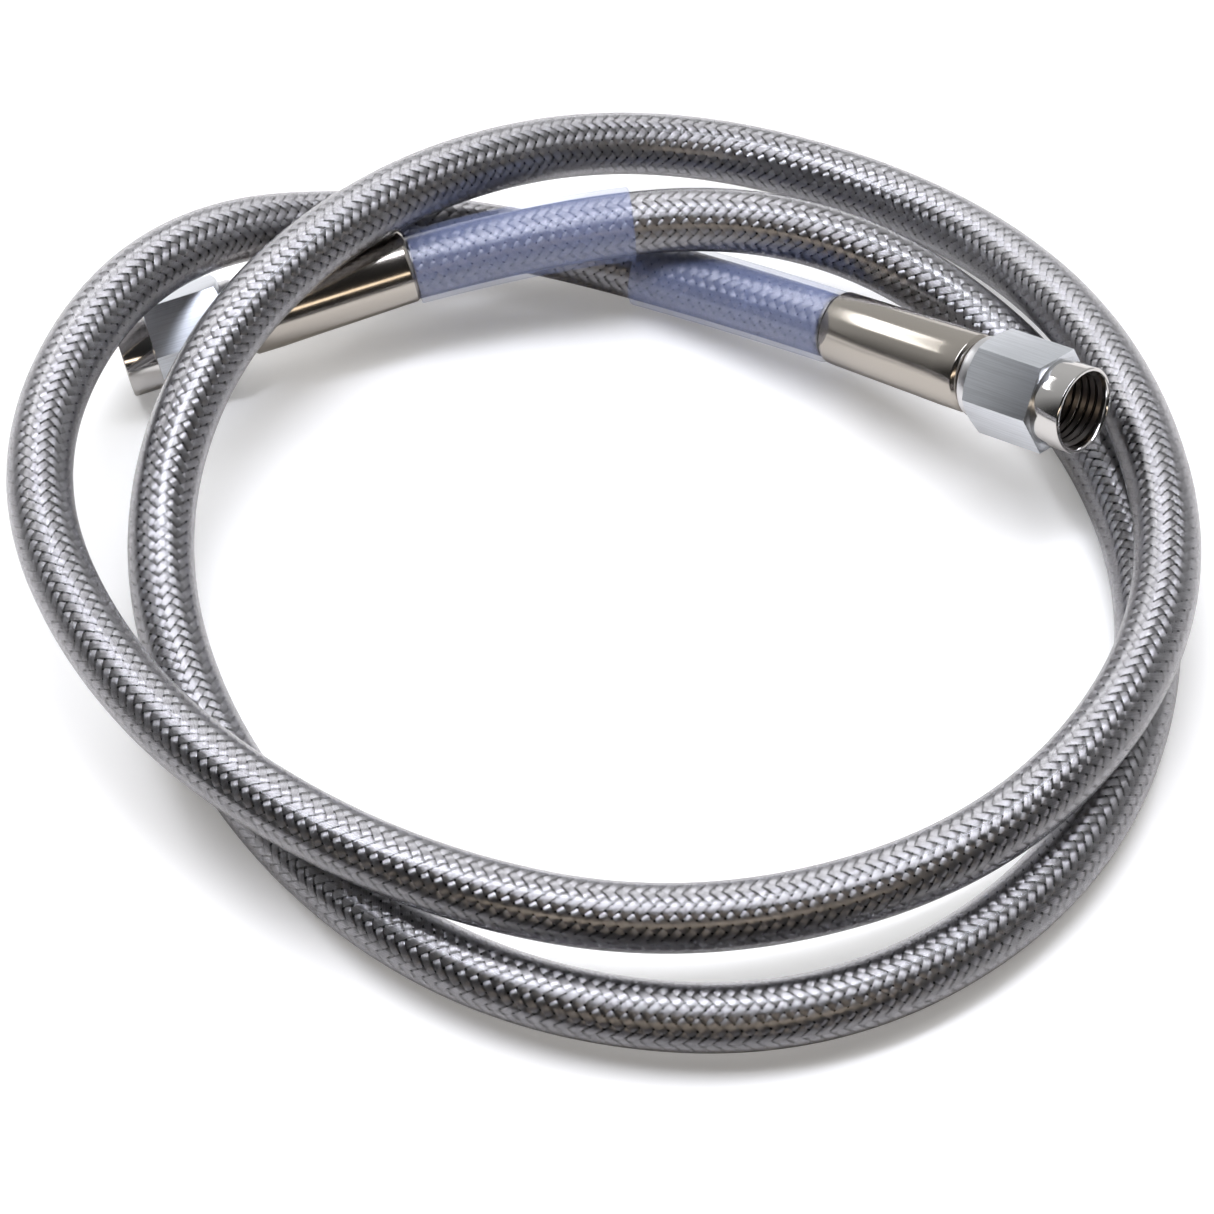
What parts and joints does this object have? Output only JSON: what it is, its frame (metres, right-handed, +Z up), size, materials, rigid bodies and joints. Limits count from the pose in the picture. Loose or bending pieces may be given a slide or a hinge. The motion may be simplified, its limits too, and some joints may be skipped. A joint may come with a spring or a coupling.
{
  "type": "braided supply line",
  "caption": "Braided hose line in a clear jacket, loosely coiled, with a hexagon swivel nut, crimp ferrule and blue sleeve at each end.",
  "frame": {"origin": "on the floor, under the middle of the box around the two end fittings", "axes": "+X from the left fitting to the right one, +Y to the back of the coil, +Z up from the floor"},
  "size_m": [0.1377, 0.1367, 0.0236],
  "materials": {
    "nickel_steel": "satin nickel plate on turned steel",
    "stem_steel": "turned steel",
    "ferrule_steel": "polished crimped stainless steel",
    "blue_sleeve": "translucent extruded plastic",
    "liner_plastic": "extruded carbon-filled fluoropolymer",
    "braid_wire": "woven drawn stainless wire",
    "clear_jacket": "clear extruded jacket"
  },
  "bodies": {
    "hose_line": {"hose_liner": "liner_plastic", "hose_braid": "braid_wire", "hose_jacket": "clear_jacket", "left_hose_stem": "stem_steel", "left_retaining_ring": "stem_steel", "left_crimp_ferrule": "ferrule_steel", "left_strain_sleeve": "blue_sleeve", "right_hose_stem": "stem_steel", "right_retaining_ring": "stem_steel", "right_crimp_ferrule": "ferrule_steel", "right_strain_sleeve": "blue_sleeve"},
    "left_nut": {"left_swivel_nut": "nickel_steel"},
    "right_nut": {"right_swivel_nut": "nickel_steel"}
  },
  "joints": [
    {"name": "left_nut_swivel", "type": "hinge", "parent": "hose_line", "child": "left_nut", "pos_m": [-0.04911, 0.00757, 0.00715], "axis": [-0.9512, -0.2658, -0.1567], "continuous": true},
    {"name": "right_nut_swivel", "type": "hinge", "parent": "hose_line", "child": "right_nut", "pos_m": [0.04945, -0.00971, 0.01583], "axis": [0.7437, -0.6132, 0.2662], "continuous": true}
  ]
}
